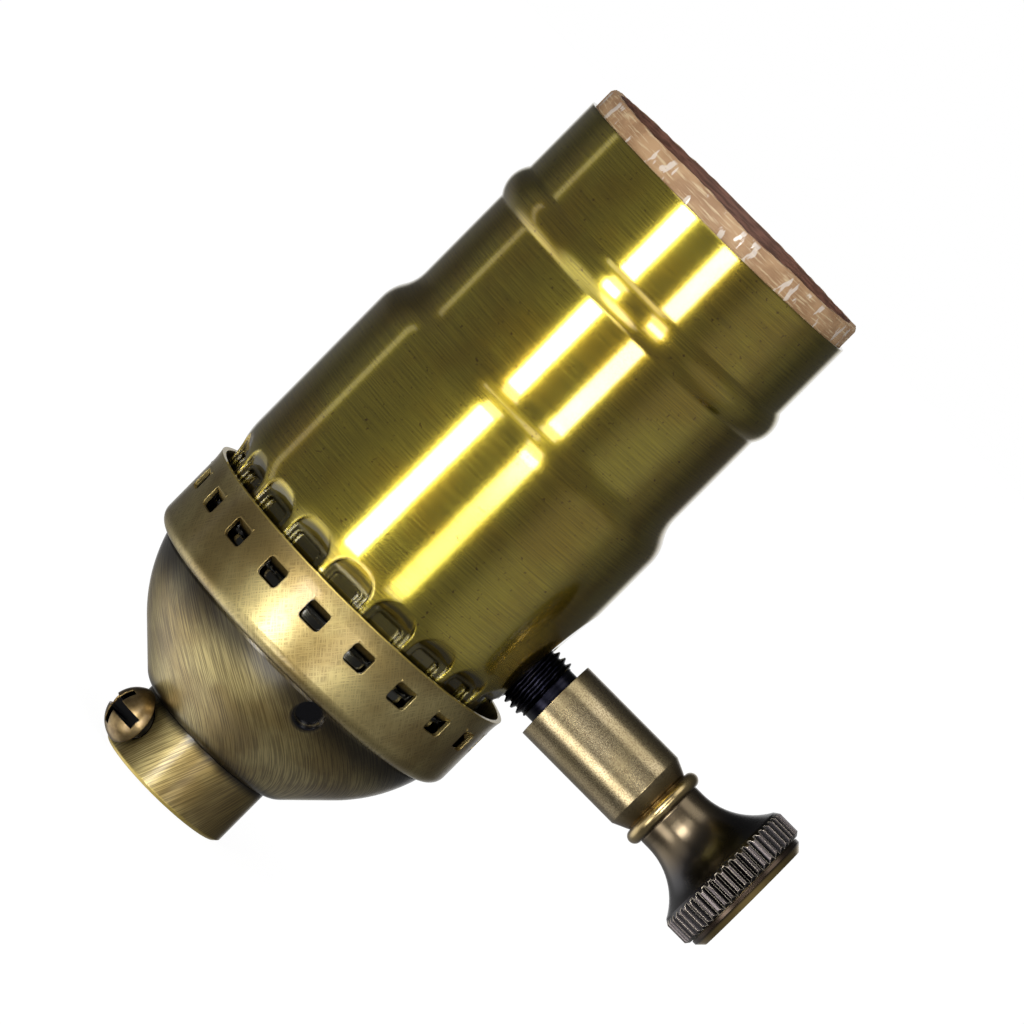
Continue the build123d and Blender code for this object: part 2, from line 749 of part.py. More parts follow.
# Terminal screws: binding heads under the pads, one of brass and one nickelled
for terminal_name, terminal_side in (("neutral_screw", 1), ("hot_screw", -1)):
    with BuildPart() as terminal_screw:
        pad_z = plate_z - strap_thickness
        with Locations((strap_x, terminal_side * terminal_y, pad_z)):
            Cylinder(
                terminal_screw_radius, terminal_screw_length, align=(Align.CENTER, Align.CENTER, Align.MIN)
            )
            Cylinder(
                terminal_head_radius, terminal_head_height, align=(Align.CENTER, Align.CENTER, Align.MAX)
            )
        head_edge = terminal_screw.edges().filter_by(GeomType.CIRCLE).group_by(Axis.Z)[0]
        fillet(head_edge, terminal_head_edge)
        with BuildSketch(Plane.XY.offset(pad_z - terminal_head_height)):
            with Locations((strap_x, terminal_side * terminal_y)):
                Rectangle(2 * terminal_head_radius, terminal_slot)
        extrude(amount=terminal_slot_depth, mode=Mode.SUBTRACT)
    terminal_screw.part.label = terminal_name
    export_step(terminal_screw.part, f"parts/{terminal_name}.step")

# Contact strap: riveted on the roof, through a slot, and along under the roof to the board
with BuildPart() as contact_strap:
    with BuildSketch(Plane.XZ):
        top_z = lamp_z + lamp_wall + contact_thickness
        with BuildLine():
            Polyline(
                (contact_bend_x, top_z),
                (contact_back_x, top_z),
                (contact_back_x, roof_z - contact_thickness),
                (board_x - contact_thickness, roof_z - contact_thickness),
                (board_x - contact_thickness, roof_z - contact_width),
                (board_x, roof_z - contact_width),
                (board_x, roof_z),
                (contact_back_x + contact_thickness, roof_z),
                (contact_back_x + contact_thickness, top_z - contact_thickness),
                (contact_bend_x, top_z - contact_thickness),
                close=True,
            )
        make_face()
    extrude(amount=contact_width / 2, both=True)
    with Locations((contact_rivet_x, 0, top_z)):
        Hole(rivet_radius + screw_fit, depth=top_z - roof_z + contact_thickness)
contact_strap.part.label = "contact_strap"
export_step(contact_strap.part, "parts/contact_strap.step")

# Contact rivet: through the strap and the roof
with BuildPart() as contact_rivet:
    with BuildSketch(Plane.XY.offset(roof_z - contact_thickness)):
        with Locations((contact_rivet_x, 0)):
            Circle(rivet_radius)
    extrude(amount=lamp_z + lamp_wall + 2 * contact_thickness - roof_z)
    with Locations((contact_rivet_x, 0, lamp_z + lamp_wall + contact_thickness)):
        Cone(
            rivet_head_radius, rivet_radius, rivet_head_height,
            align=(Align.CENTER, Align.CENTER, Align.MIN),
        )
    with Locations((contact_rivet_x, 0, roof_z - contact_thickness)):
        Cone(
            rivet_radius, rivet_head_radius, rivet_head_height,
            align=(Align.CENTER, Align.CENTER, Align.MAX),
        )
contact_rivet.part.label = "contact_rivet"
export_step(contact_rivet.part, "parts/contact_rivet.step")

# Contact tongue: rises from its bend line to a domed tip on the lamp's axis
with BuildPart() as contact_tongue:
    with BuildSketch(Plane.XZ):
        half = contact_thickness / 2
        pivot_x = contact_bend_x + contact_gap + half
        rise = contact_rise / contact_reach
        with BuildLine():
            lower_root = (pivot_x, contact_pivot_z - half)
            upper_root = (pivot_x, contact_pivot_z + half)
            upper_end = (pivot_x + contact_reach, contact_pivot_z + half + contact_rise)
            lower_end = (pivot_x + contact_reach, contact_pivot_z - half + contact_rise)
            ThreePointArc(lower_root, (pivot_x - half, contact_pivot_z), upper_root)
            Spline(upper_root, upper_end, tangents=((1, rise), (1, 0)))
            Line(upper_end, lower_end)
            Spline(lower_end, lower_root, tangents=((-1, 0), (-1, -rise)))
        make_face()
    extrude(amount=contact_width / 2, both=True)
    tip_z = contact_pivot_z + half + contact_rise
    with BuildSketch(Plane.XY.offset(tip_z - contact_thickness)):
        with Locations((pivot_x + contact_reach - contact_tip_radius, 0)):
            Circle(contact_tip_radius)
    extrude(amount=contact_thickness + contact_dome)
contact_tongue.part.label = "contact_tongue"
export_step(contact_tongue.part, "parts/contact_tongue.step")

# Circuit board: stands on the base plate, close between the cup's walls
with BuildPart() as circuit_board:
    with BuildSketch(Plane.YZ.offset(board_x)):
        with Locations((0, board_z)):
            Rectangle(2 * board_half_width, roof_z - contact_thickness - board_fit - board_z,
                      align=(Align.CENTER, Align.MIN))
        for pin in (-1, 0, 1):
            with Locations((pin * pin_pitch, pin_z)):
                Circle(pin_size, mode=Mode.SUBTRACT)
    extrude(amount=board_thickness)
circuit_board.part.label = "circuit_board"
export_step(circuit_board.part, "parts/circuit_board.step")

# Triac: a flat moulded package on three bent leads
with BuildPart() as triac:
    with Locations((board_x - part_lift, triac_y, triac_z)):
        Box(triac_thickness, triac_width, triac_height, align=(Align.MAX, Align.CENTER, Align.MIN))
    fillet(triac.edges().filter_by(Axis.Z).group_by(Axis.X)[0], triac_edge)
    lead_x = board_x - part_lift - triac_thickness / 2
    for lead in (-1, 0, 1):
        with BuildSketch(Plane.XY.offset(triac_z)):
            with Locations((lead_x, triac_y + lead * triac_lead_pitch)):
                Circle(lead_radius)
        extrude(amount=-triac_lead_length)
        with BuildSketch(Plane.YZ.offset(lead_x)):
            with Locations((triac_y + lead * triac_lead_pitch, triac_z - triac_lead_length)):
                Circle(lead_radius)
        extrude(amount=board_x - lead_x)
triac.part.label = "triac"
export_step(triac.part, "parts/triac.step")

# Film capacitor: a box against the board
with BuildPart() as capacitor:
    with Locations((board_x, capacitor_y, capacitor_z)):
        Box(capacitor_depth, capacitor_width, capacitor_height, align=(Align.MAX, Align.CENTER, Align.MIN))
    fillet(capacitor.edges().group_by(Axis.X)[0], capacitor_edge)
capacitor.part.label = "capacitor"
export_step(capacitor.part, "parts/capacitor.step")

# Choke: a ferrite rod with its winding, lying across the board
with BuildPart() as choke:
    with BuildSketch(Plane.XZ.offset(-choke_y - choke_length / 2)):
        with Locations((board_x - choke_coil_radius, choke_z)):
            Circle(choke_core_radius)
    extrude(amount=choke_length)
    with BuildSketch(Plane.XZ.offset(-choke_y - choke_coil_length / 2)):
        with Locations((board_x - choke_coil_radius, choke_z)):
            Circle(choke_coil_radius)
    extrude(amount=choke_coil_length)
choke.part.label = "choke"
export_step(choke.part, "parts/choke.step")

# Diac and resistor: small barrels, each on two leads bent down to the board
for barrel_name, body_round, body_long, body_mid_y, body_mid_z, along in (
    ("diac", diac_radius, diac_length, diac_y, diac_z, Vector(0, 0, 1)),
    ("resistor", resistor_radius, resistor_length, resistor_y, resistor_z, Vector(0, 1, 0)),
):
    with BuildPart() as barrel:
        middle = Vector(board_x - part_lift - body_round, body_mid_y, body_mid_z)
        reach = body_long / 2 + lead_bend
        with BuildSketch(Plane(middle - along * body_long / 2, z_dir=along)):
            Circle(body_round)
        extrude(amount=body_long)
        chamfer(barrel.edges().filter_by(GeomType.CIRCLE), barrel_edge)
        with BuildSketch(Plane(middle - along * reach, z_dir=along)):
            Circle(lead_radius)
        extrude(amount=2 * reach)
        for end in (middle - along * reach, middle + along * reach):
            with BuildSketch(Plane(end, z_dir=(1, 0, 0))):
                Circle(lead_radius)
            extrude(amount=board_x - middle.X)
    barrel.part.label = barrel_name
    export_step(barrel.part, f"parts/{barrel_name}.step")

# Case of the rotary control, open to the front
with BuildPart() as pot_case:
    with Locations((pot_x, 0, knob_z)):
        Box(pot_depth, pot_width, pot_height, align=(Align.MIN, Align.CENTER, Align.CENTER))
    fillet(pot_case.edges().filter_by(Axis.X), pot_corner)
    with BuildSketch(Plane.YZ.offset(pot_cavity_x)):
        with Locations((0, knob_z)):
            Circle(pot_cavity_radius)
    extrude(amount=pot_depth, mode=Mode.SUBTRACT)
    with BuildSketch(Plane.YZ.offset(pot_cavity_x)):
        with Locations((0, knob_z - pot_height / 2)):
            Rectangle(2 * pin_pitch + 2 * pin_size, pot_height / 2, align=(Align.CENTER, Align.MIN))
    extrude(amount=track_thickness + pin_size, mode=Mode.SUBTRACT)
pot_case.part.label = "pot_case"
export_step(pot_case.part, "parts/pot_case.step")

# Front plate and bushing of the rotary control
with BuildPart() as pot_bushing:
    with Locations((pot_plate_x, 0, knob_z)):
        Box(pot_plate, pot_width, pot_height, align=(Align.MIN, Align.CENTER, Align.CENTER))
    fillet(pot_bushing.edges().filter_by(Axis.X), pot_corner)
    with BuildSketch(Plane.YZ.offset(pot_front_x)):
        with Locations((0, knob_z)):
            Circle(bushing_radius)
    extrude(amount=bushing_end_x - pot_front_x)
    chamfer(pot_bushing.faces().sort_by(Axis.X)[-1].edges(), bushing_chamfer)
    with BuildSketch(Plane.YZ.offset(pot_plate_x)):
        with Locations((0, knob_z)):
            Circle(shaft_radius + running_fit)
    extrude(amount=bushing_end_x - pot_plate_x, mode=Mode.SUBTRACT)
pot_bushing.part.label = "pot_bushing"
export_step(pot_bushing.part, "parts/pot_bushing.step")

# Track: a wafer at the back of the case, with a tail that carries the pins
with BuildPart() as pot_track:
    with BuildSketch(Plane.YZ.offset(pot_cavity_x)):
        with Locations((0, knob_z)):
            Circle(track_outer)
        with Locations((0, knob_z - pot_height / 2)):
            Rectangle(2 * pin_pitch + pin_size, pot_height / 2, align=(Align.CENTER, Align.MIN))
        with Locations((0, knob_z)):
            Circle(spindle_radius + slot_fit, mode=Mode.SUBTRACT)
    extrude(amount=track_thickness)
pot_track.part.label = "pot_track"
export_step(pot_track.part, "parts/pot_track.step")

# Three pins: down from the wafer's tail, then back through the board
with BuildPart() as pot_terminals:
    tail_z = knob_z - pot_cavity_radius
    pin_back_x = board_x - part_lift
    for pin in (-1, 0, 1):
        with BuildSketch(Plane.XZ.offset(-pin * pin_pitch)):
            with BuildLine():
                Polyline(
                    (track_face_x, tail_z),
                    (track_face_x + pin_size, tail_z),
                    (track_face_x + pin_size, pin_z - pin_size / 2),
                    (pin_back_x, pin_z - pin_size / 2),
                    (pin_back_x, pin_z + pin_size / 2),
                    (track_face_x, pin_z + pin_size / 2),
                    close=True,
                )
            make_face()
        extrude(amount=pin_size / 2, both=True)
pot_terminals.part.label = "pot_terminals"
export_step(pot_terminals.part, "parts/pot_terminals.step")

# Shaft: runs in the bushing, with a thinner spindle for the rotor
with BuildPart() as shaft:
    shaft_end_x = knob_x + knob_bore_length
    with BuildSketch(Plane.YZ.offset(shoulder_x)):
        with Locations((0, knob_z)):
            Circle(shaft_radius)
    extrude(amount=shaft_end_x - shoulder_x)
    chamfer(shaft.faces().sort_by(Axis.X)[-1].edges(), bushing_chamfer)
    with BuildSketch(Plane.YZ.offset(pot_cavity_x + spindle_end_gap)):
        with Locations((0, knob_z)):
            Circle(spindle_radius)
    extrude(amount=shoulder_x - pot_cavity_x - spindle_end_gap)
shaft.part.label = "shaft"
export_step(shaft.part, "parts/shaft.step")

# Rotor: a disc on the spindle that holds the wiper
with BuildPart() as pot_rotor:
    with BuildSketch(Plane.YZ.offset(rotor_x)):
        with Locations((0, knob_z)):
            Circle(rotor_radius)
            Circle(spindle_radius, mode=Mode.SUBTRACT)
    extrude(amount=rotor_thickness)
pot_rotor.part.label = "pot_rotor"
export_step(pot_rotor.part, "parts/pot_rotor.step")

# Wiper: a sprung ring behind the rotor with one finger out to the track
with BuildPart() as pot_wiper:
    with BuildSketch(Plane.YZ.offset(rotor_x)):
        with Locations((0, knob_z)):
            Circle(spindle_radius + wiper_width)
            Circle(spindle_radius + slot_fit, mode=Mode.SUBTRACT)
    extrude(amount=-wiper_thickness)
    with BuildSketch(Plane.XZ):
        with BuildLine():
            finger_z = knob_z + spindle_radius + wiper_width / 2
            finger_end_z = knob_z + track_outer - wiper_width / 2
            tip_x = track_face_x + wiper_gap
            Polyline(
                (rotor_x, finger_z),
                (tip_x + wiper_thickness, finger_end_z),
                (tip_x, finger_end_z),
                (rotor_x - wiper_thickness, finger_z),
                close=True,
            )
        make_face()
    extrude(amount=wiper_width / 2, both=True)
pot_wiper.part.label = "pot_wiper"
export_step(pot_wiper.part, "parts/pot_wiper.step")

# One tooth space of the knurl, as a cutter along the knob's axis
with BuildPart() as knurl_tool:
    with BuildSketch():
        knurl_half = pi * wheel_radius / knurl_count * knurl_share
        with BuildLine():
            Polyline(
                (wheel_radius + knurl_depth, -2 * knurl_half),
                (wheel_radius - knurl_depth, 0),
                (wheel_radius + knurl_depth, 2 * knurl_half),
                close=True,
            )
        make_face()
    extrude(amount=wheel_width)

# Knob: turned from bar, bored for the shaft, its wheel knurled with straight teeth
with BuildPart() as knob:
    with BuildSketch(Plane.XZ):
        barrel_end = knob_x + barrel_length
        taper_end = barrel_end + taper_length
        bead_start = taper_end + groove_width
        bead_end = bead_start + knob_bead_width
        neck_x = knob_x + knob_neck_start
        flare_x = neck_x + knob_neck_length
        wheel_x = knob_x + wheel_start
        wheel_end = wheel_x + wheel_width
        disc_x = wheel_end + cap_disc_gap
        disc_end = disc_x + cap_disc_width
        with BuildLine():
            Polyline(
                (knob_x, knob_z),
                (knob_x, knob_z + barrel_radius),
                (barrel_end, knob_z + barrel_radius),
                (taper_end, knob_z + taper_radius),
                (bead_start, knob_z + groove_radius),
            )
            ThreePointArc(
                (bead_start, knob_z + groove_radius),
                ((bead_start + bead_end) / 2, knob_z + knob_bead_radius),
                (bead_end, knob_z + groove_radius),
            )
            Polyline(
                (bead_end, knob_z + groove_radius),
                (neck_x, knob_z + knob_neck_radius),
                (flare_x, knob_z + knob_neck_radius),
            )
            TangentArc(
                (flare_x, knob_z + knob_neck_radius),
                (flare_x + flare_length, knob_z + flare_radius),
                tangent=(1, 0),
            )
            Polyline(
                (flare_x + flare_length, knob_z + flare_radius),
                (wheel_x + wheel_chamfer, knob_z + wheel_radius),
                (wheel_end - wheel_chamfer, knob_z + wheel_radius),
                (wheel_end, knob_z + flare_radius),
                (wheel_end, knob_z + cap_disc_radius - cap_disc_gap),
                (disc_x, knob_z + cap_disc_radius - cap_disc_gap),
                (disc_x, knob_z + cap_disc_radius),
                (disc_end - cap_disc_round, knob_z + cap_disc_radius),
                (disc_end, knob_z + cap_disc_radius - cap_disc_round),
                (disc_end, knob_z),
                (knob_x, knob_z),
            )
        make_face()
    revolve(axis=Axis((0, 0, knob_z), (1, 0, 0)))
    with BuildSketch(Plane.YZ.offset(knob_x)):
        with Locations((0, knob_z)):
            Circle(shaft_radius)
    extrude(amount=knob_bore_length, mode=Mode.SUBTRACT)
    knurl_plane = Plane((wheel_x, 0, knob_z), x_dir=(0, 1, 0), z_dir=(1, 0, 0))
    with Locations(knurl_plane):
        with PolarLocations(0, knurl_count):
            add(knurl_tool.part, mode=Mode.SUBTRACT)
knob.part.label = "knob"
export_step(knob.part, "parts/knob.step")
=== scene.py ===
import math

import bpy
from mathutils import Matrix, Vector, noise


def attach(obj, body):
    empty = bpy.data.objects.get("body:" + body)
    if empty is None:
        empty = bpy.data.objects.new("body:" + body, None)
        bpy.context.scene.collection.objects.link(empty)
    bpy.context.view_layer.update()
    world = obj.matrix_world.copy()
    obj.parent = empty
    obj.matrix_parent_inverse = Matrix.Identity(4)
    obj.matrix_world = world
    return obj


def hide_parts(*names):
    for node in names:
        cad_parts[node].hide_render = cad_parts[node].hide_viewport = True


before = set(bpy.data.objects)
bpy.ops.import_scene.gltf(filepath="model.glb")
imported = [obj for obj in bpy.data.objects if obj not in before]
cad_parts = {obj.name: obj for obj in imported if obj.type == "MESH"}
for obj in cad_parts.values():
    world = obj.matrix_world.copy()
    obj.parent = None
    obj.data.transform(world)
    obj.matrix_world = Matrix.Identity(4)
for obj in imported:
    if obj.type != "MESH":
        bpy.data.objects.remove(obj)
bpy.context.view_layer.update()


# Shell. One brass sheet, drawn, polished while it spins and dipped in clear lacquer, so that sharp
# white reflections lie over a soft grain that runs round it. The grain is drawn a few times coarser
# than the real one, to show. Its pockets and its foot under the band are painted dark as shade.
mm = 0.001


def colour(code):
    """A colour written as in a picture, turned into the linear values that a material takes."""
    channels = [int(code[i:i + 2], 16) / 255 for i in (1, 3, 5)]
    linear = [c / 12.92 if c <= 0.04045 else ((c + 0.055) / 1.055) ** 2.4 for c in channels]
    return (*linear, 1.0)


def add(tree, kind, *inputs, named=None, **settings):
    """Adds a node with its settings. Its inputs, in order or by name, take values, colours or nodes."""
    made = tree.nodes.new("ShaderNode" + kind)
    for name, value in settings.items():
        setattr(made, name, value)
    in_use = [socket for socket in made.inputs if socket.enabled]
    by_name = [(made.inputs[name], value) for name, value in (named or {}).items()]
    for socket, value in [*zip(in_use, inputs), *by_name]:
        if isinstance(value, bpy.types.Node):
            value = next(output for output in value.outputs if output.enabled)
        if isinstance(value, bpy.types.NodeSocket):
            tree.links.new(value, socket)
        else:
            socket.default_value = colour(value) if isinstance(value, str) else value
    return made


def material(name):
    """An empty material, and its node tree."""
    made = bpy.data.materials.new(name)
    made.use_nodes = True
    made.node_tree.nodes.clear()
    return made, made.node_tree


def from_axis(tree, place):
    """How far a point lies from the lamp's axis."""
    flat = add(tree, "Mapping", place, named={"Scale": (1, 1, 0)})
    return add(tree, "VectorMath", flat, operation="LENGTH")


def strokes(tree, place, radius, lean, length, width):
    """Noise drawn out into strokes that go round the axis and lean by so many degrees."""
    parts = add(tree, "SeparateXYZ", place)
    turn = add(tree, "Math", parts.outputs["Y"], parts.outputs["X"], operation="ARCTAN2")
    around = add(tree, "Math", turn, radius, operation="MULTIPLY")
    flat = add(tree, "CombineXYZ", around, parts.outputs["Z"])
    leaning = add(tree, "Mapping", flat, named={"Rotation": (0, 0, math.radians(-lean))})
    drawn = add(tree, "Mapping", leaning, named={"Scale": (1 / length, 1 / width, 1)})
    return add(tree, "TexNoise", drawn, named={"Scale": 1.0, "Detail": 3.0})


def wear(made, *nodes):
    """Gives these CAD nodes a material."""
    for node in nodes:
        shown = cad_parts[node]
        shown.data.materials.clear()
        shown.data.materials.append(made)


smooth = {"interpolation_type": "SMOOTHSTEP"}
product = {"operation": "MULTIPLY"}
larger = {"operation": "MAXIMUM"}
mixed = {"data_type": "RGBA"}

BODY_RADIUS = 18 * mm
# The foot narrows over these heights by this much; sheet that lies within these radii is pressed in.
FOOT_RISE, FOOT_TAPER, WELL_RADII = (27 * mm, 31.8 * mm), 0.6 * mm, (17.7 * mm, 17.88 * mm)
# Heights over which the shade of the band, and the pockets, end.
SHADE_END, POCKETS_END = (26.8 * mm, 28.6 * mm), (31.5 * mm, 32.5 * mm)

polished, tree = material("polished_brass_under_lacquer")
place = add(tree, "TexCoord").outputs["Object"]
height = add(tree, "SeparateXYZ", place).outputs["Z"]
radius = from_axis(tree, place)
grain = strokes(tree, place, BODY_RADIUS, 0, 6 * mm, 0.11 * mm)
cloud = add(tree, "TexNoise", place, named={"Scale": 110.0, "Detail": 4.0})
specks = add(tree, "TexNoise", place, named={"Scale": 2600.0, "Detail": 2.0})
clouded = add(tree, "MapRange", cloud, 0.4, 0.65, 0, 1, **smooth)
sheet = add(tree, "Mix", clouded, "#cdb93f", "#bfa22f", **mixed)
speckled = add(tree, "MapRange", specks, 0.66, 0.74, 0, 1, **smooth)
sheet = add(tree, "Mix", speckled, sheet, "#8a6a1c", **mixed)
# Painted shade: the sheet goes dark under the band's edge and in the pressed pockets.
below_band = add(tree, "MapRange", height, *SHADE_END, 1, 0, **smooth)
foot_taper = add(tree, "MapRange", height, *FOOT_RISE, FOOT_TAPER, 0, **smooth)
unpressed = add(tree, "Math", foot_taper, radius, operation="ADD")
pressed_in = add(tree, "MapRange", unpressed, *WELL_RADII, 0.8, 0, **smooth)
pocket_zone = add(tree, "MapRange", height, *POCKETS_END, 1, 0, **smooth)
in_pocket = add(tree, "Math", pressed_in, pocket_zone, **product)
painted_shade = add(tree, "Math", below_band, in_pocket, **larger)
sheet = add(tree, "Mix", painted_shade, sheet, "#2a281c", **mixed)
streak = add(tree, "MapRange", grain, 0.25, 0.75, 0.74, 1.2, **smooth)
streaks = add(tree, "CombineColor", streak, streak, streak)
sheet = add(tree, "Mix", 1.0, sheet, streaks, blend_type="MULTIPLY", **mixed)
soft_edges = add(tree, "Bevel", 0.45 * mm, samples=6)
relief = add(tree, "Bump", named={
    "Height": grain, "Strength": 0.05, "Distance": 0.04 * mm, "Normal": soft_edges,
})
lacquered = add(tree, "BsdfPrincipled", named={
    "Base Color": sheet, "Metallic": 1.0,
    "Roughness": add(tree, "MapRange", cloud, 0.3, 0.7, 0.21, 0.25, **smooth),
    "Anisotropic": 0.85, "Anisotropic Rotation": 0.25,
    "Tangent": add(tree, "Tangent", direction_type="RADIAL", axis="Z"), "Normal": relief,
    "Coat Weight": 1.0, "Coat Roughness": 0.08, "Coat IOR": 1.7, "Coat Normal": soft_edges,
})
add(tree, "OutputMaterial", lacquered)
wear(polished, "shell")

# Cap and hub. The same sheet and a turned collar, darkened with a brown film, brushed back through it
# and lacquered thin, so that hairlines glint across a brown ground. Painted shade turns it near black
# under the band's step, in the key dimple, where the hub meets the dome and inside the band. The edges
# are rubbed yellow, and the band's lip also carries a painted highlight line.
HUB_RADIUS, HUB_TOP, HUB_BORE = 7.4 * mm, 6.6 * mm, 6.4 * mm
STEP, BAND_TOP, BAND_INSIDE = 18.2 * mm, 27.3 * mm, (17.4 * mm, 17.9 * mm)
DIMPLE, DIMPLE_EDGE = (6.05 * mm, -15.35 * mm, 16.8 * mm), (1.4 * mm, 2.3 * mm)

brushed_film, tree = material("brushed_dark_brass")
place = add(tree, "TexCoord").outputs["Object"]
height = add(tree, "SeparateXYZ", place).outputs["Z"]
radius = from_axis(tree, place)
cloud = add(tree, "TexNoise", place, named={"Scale": 150.0, "Detail": 5.0})
stain = add(tree, "TexNoise", place, named={"Scale": 70.0, "Detail": 3.0})
hub_strokes = strokes(tree, place, HUB_RADIUS, 68, 5 * mm, 0.11 * mm)
dome_strokes = strokes(tree, place, 12 * mm, -38, 4 * mm, 0.11 * mm)
band_strokes = strokes(tree, place, BODY_RADIUS, 50, 1.6 * mm, 0.14 * mm)
cross_strokes = strokes(tree, place, BODY_RADIUS, -50, 1.6 * mm, 0.14 * mm)
crosshatch = add(tree, "Math", band_strokes, cross_strokes, **larger)
on_dome = add(tree, "MapRange", height, HUB_TOP - 0.2 * mm, HUB_TOP + 0.2 * mm, 0, 1, **smooth)
on_band = add(tree, "MapRange", height, STEP, STEP + 0.8 * mm, 0, 1, **smooth)
brushed = add(tree, "Mix", on_dome, hub_strokes, dome_strokes)
brushed = add(tree, "Mix", on_band, brushed, crosshatch)

clouded = add(tree, "MapRange", cloud, 0.38, 0.62, 0, 1, **smooth)
tone = add(tree, "Mix", clouded, "#cbb97d", "#aa945c", **mixed)
stained = add(tree, "MapRange", stain, 0.5, 0.68, 0, 0.35, **smooth)
tone = add(tree, "Mix", stained, tone, "#6a5226", **mixed)
between = add(tree, "MapRange", brushed, 0.4, 0.6, 1, 0, **smooth)
film_left = add(tree, "MapRange", on_band, 0, 1, 0.6, 0.4)
tone = add(tree, "Mix", add(tree, "Math", between, film_left, **product), tone, "#4a3a20", **mixed)
# Painted shade: near black under the band's step, at the hub's root, in the key dimple and inside the
# band.
above_shade = add(tree, "MapRange", height, STEP - 4.6 * mm, STEP - 0.5 * mm, 0, 0.85, **smooth)
below_step = add(tree, "MapRange", height, STEP - 0.1 * mm, STEP + 0.4 * mm, 1, 0, **smooth)
cap_painted_shade = add(tree, "Math", above_shade, below_step, **product)
above_root = add(tree, "MapRange", height, HUB_TOP - 1.2 * mm, HUB_TOP - 0.1 * mm, 0, 0.9, **smooth)
below_root = add(tree, "MapRange", height, HUB_TOP + 0.1 * mm, HUB_TOP + 1.6 * mm, 1, 0, **smooth)
cap_painted_shade = add(tree, "Math", cap_painted_shade, add(tree, "Math", above_root, below_root, **product), **larger)
to_dimple = add(tree, "VectorMath", place, DIMPLE, operation="DISTANCE")
in_dimple = add(tree, "MapRange", to_dimple, *DIMPLE_EDGE, 1, 0, **smooth)
cap_painted_shade = add(tree, "Math", cap_painted_shade, in_dimple, **larger)
within = add(tree, "MapRange", radius, *BAND_INSIDE, 1, 0, **smooth)
cap_painted_shade = add(tree, "Math", cap_painted_shade, add(tree, "Math", within, on_band, **product), **larger)
tone = add(tree, "Mix", cap_painted_shade, tone, "#06060f", **mixed)
# The band's lip and the hub's open end are rubbed yellow; the lip's pale line is also a painted highlight.
top_edge = add(tree, "MapRange", height, BAND_TOP - 0.2 * mm, BAND_TOP, 0, 1, **smooth)
hub_edge = add(tree, "MapRange", height, 0.2 * mm, 0.5 * mm, 1, 0, **smooth)
outside = add(tree, "MapRange", radius, HUB_BORE - 0.2 * mm, HUB_BORE + 0.2 * mm, 0, 1, **smooth)
rubbed_and_highlit = add(tree, "Math", add(tree, "Math", top_edge, hub_edge, **larger), outside, **product)
tone = add(tree, "Mix", rubbed_and_highlit, tone, "#d8bf62", **mixed)
soft_edges = add(tree, "Bevel", 0.16 * mm, samples=6)
relief = add(tree, "Bump", named={
    "Height": brushed, "Strength": 0.2, "Distance": 0.06 * mm, "Normal": soft_edges,
})
matt = add(tree, "MapRange", brushed, 0.3, 0.7, 0.48, 0.38, **smooth)
hub_gloss = add(tree, "MapRange", height, HUB_TOP - 1 * mm, HUB_TOP, 1.15, 1, **smooth)
shader = add(tree, "BsdfPrincipled", named={
    "Base Color": tone, "Metallic": 1.0, "Roughness": add(tree, "Math", matt, hub_gloss, **product),
    "Normal": relief, "Coat Weight": add(tree, "MapRange", in_dimple, 0, 1, 0.6, 1),
    "Coat Roughness": 0.2,
})
add(tree, "OutputMaterial", shader)
wear(brushed_film, "cap", "cap_hub")

# Set screw. Turned brass with a domed head under the same brown film. Its slot and cross are
# painted black as shade: what lies deeper than the dome is black.
SCREW_TURN, SCREW_HEIGHT, HEAD_MIDDLE, HEAD_RADIUS = math.radians(219), 3.6 * mm, 7.54 * mm, 3.1 * mm

screw_brass, tree = material("filmed_screw_brass")
place = add(tree, "TexCoord").outputs["Object"]
head_middle = (HEAD_MIDDLE * math.cos(SCREW_TURN), HEAD_MIDDLE * math.sin(SCREW_TURN), SCREW_HEIGHT)
from_middle = add(tree, "VectorMath", place, head_middle, operation="DISTANCE")
dome = HEAD_RADIUS - 0.2 * mm, HEAD_RADIUS - 0.08 * mm
# Painted shade: the slot and cross, deeper than the dome, are painted black.
sunk = add(tree, "MapRange", from_middle, *dome, 1, 0, **smooth)
cloud = add(tree, "TexNoise", place, named={"Scale": 900.0, "Detail": 4.0})
clouded = add(tree, "MapRange", cloud, 0.35, 0.65, 0, 1, **smooth)
tone = add(tree, "Mix", clouded, "#a58c5e", "#7b6540", **mixed)
tone = add(tree, "Mix", sunk, tone, "#08080f", **mixed)
soft_edges = add(tree, "Bevel", 0.15 * mm, samples=6)
relief = add(tree, "Bump", named={
    "Height": cloud, "Strength": 0.15, "Distance": 0.04 * mm, "Normal": soft_edges,
})
shader = add(tree, "BsdfPrincipled", named={
    "Base Color": tone, "Metallic": 1.0, "Roughness": 0.34, "Normal": relief,
    "Coat Weight": 0.5, "Coat Roughness": 0.2,
})
add(tree, "OutputMaterial", shader)
wear(screw_brass, "hub_screw")

# Liner. A tube of vulcanised fibre, pushed in past the rim: matt and tan outside, red brown inside,
# its sawn end uneven and a little frayed, with chips of the glossy varnish that it was dipped in,
# whose pale colour is also a painted highlight where they glint.
KNOB_Z, LINER_PASSAGE = 32.6 * mm, 4.3 * mm
LINER_OUT, LINER_IN, LINER_LOW, LINER_TOP = 16.15 * mm, 14.95 * mm, 31.7 * mm, 77.5 * mm
LINER_STRAIGHT, LINER_COLUMNS, LAY_RADIUS = 75 * mm, 720, 16 * mm

